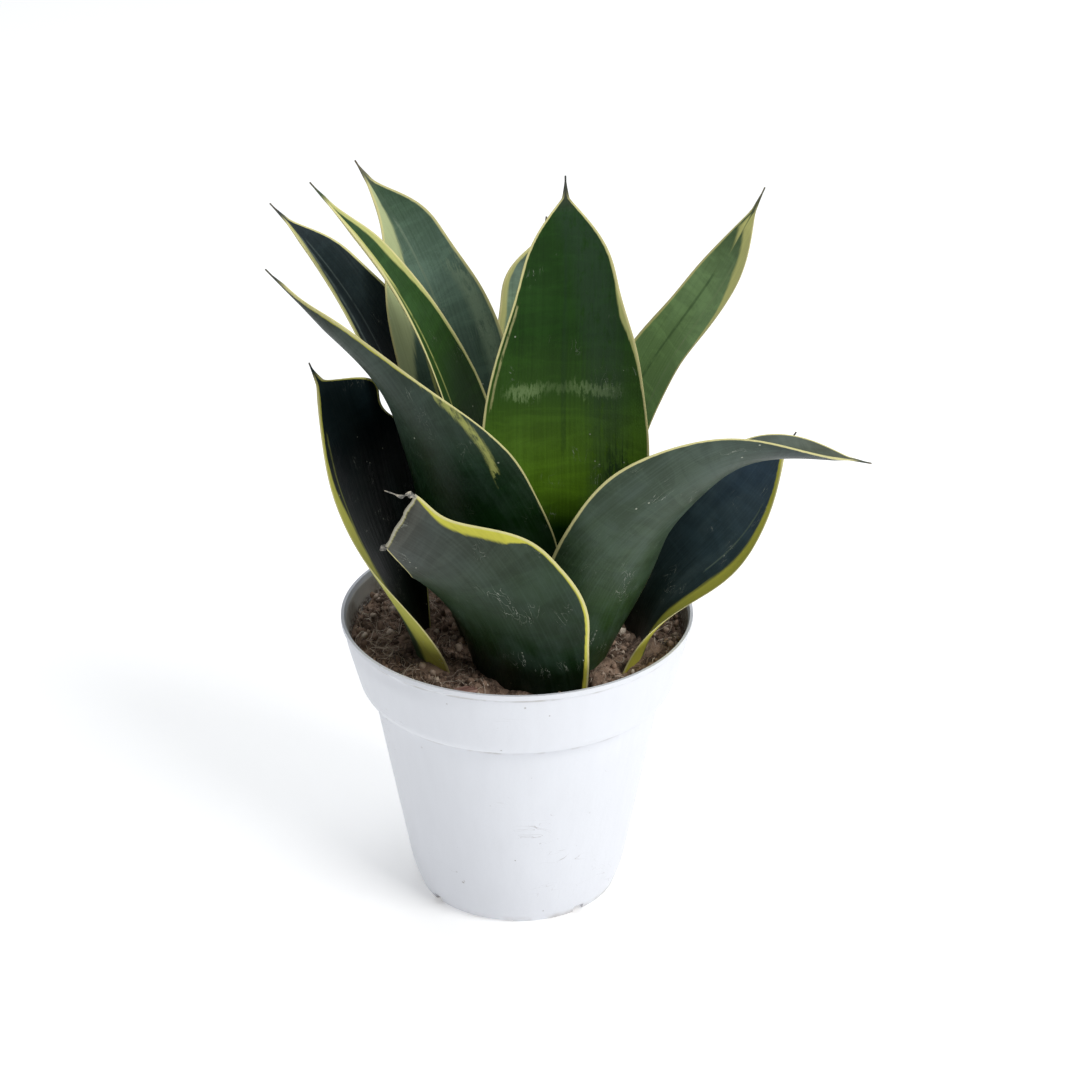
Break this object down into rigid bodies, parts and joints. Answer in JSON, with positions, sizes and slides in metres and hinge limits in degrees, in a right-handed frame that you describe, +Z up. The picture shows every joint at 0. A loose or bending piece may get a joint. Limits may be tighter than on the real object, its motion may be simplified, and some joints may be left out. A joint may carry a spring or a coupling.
{
  "type": "potted snake plant",
  "caption": "Dwarf snake plant with broad pale-edged leaves in a rosette, growing in soil in a round white nursery pot that stands on its flat base.",
  "frame": {"origin": "centre of the underside of the pot, on the surface it stands on", "axes": "+Z up along the pot's axis; -Y towards the side with the short front leaf, +X to the right seen from there"},
  "size_m": [0.1983, 0.12, 0.2591],
  "materials": {
    "pot_plastic": "satin, lightly scuffed",
    "soil": "rough coir fibre and soil",
    "root": "dull",
    "bark": "rough",
    "leaf_green": "waxy, pale edges",
    "leaf_grey_green": "waxy, pale edges",
    "leaf_dark": "waxy, pale edges"
  },
  "bodies": {
    "root": {"pot": "pot_plastic", "soil": "soil", "rhizome": "root", "bark_chip": "bark", "leaf_front": "leaf_grey_green", "leaf_left_low": "leaf_dark", "leaf_right_low": "leaf_dark", "leaf_right_arched": "leaf_grey_green", "leaf_left_arched": "leaf_grey_green", "leaf_left_back": "leaf_dark", "leaf_centre": "leaf_green", "leaf_back_left": "leaf_grey_green", "leaf_left_narrow": "leaf_green", "leaf_right_back": "leaf_green", "leaf_back": "leaf_grey_green"}
  },
  "joints": []
}
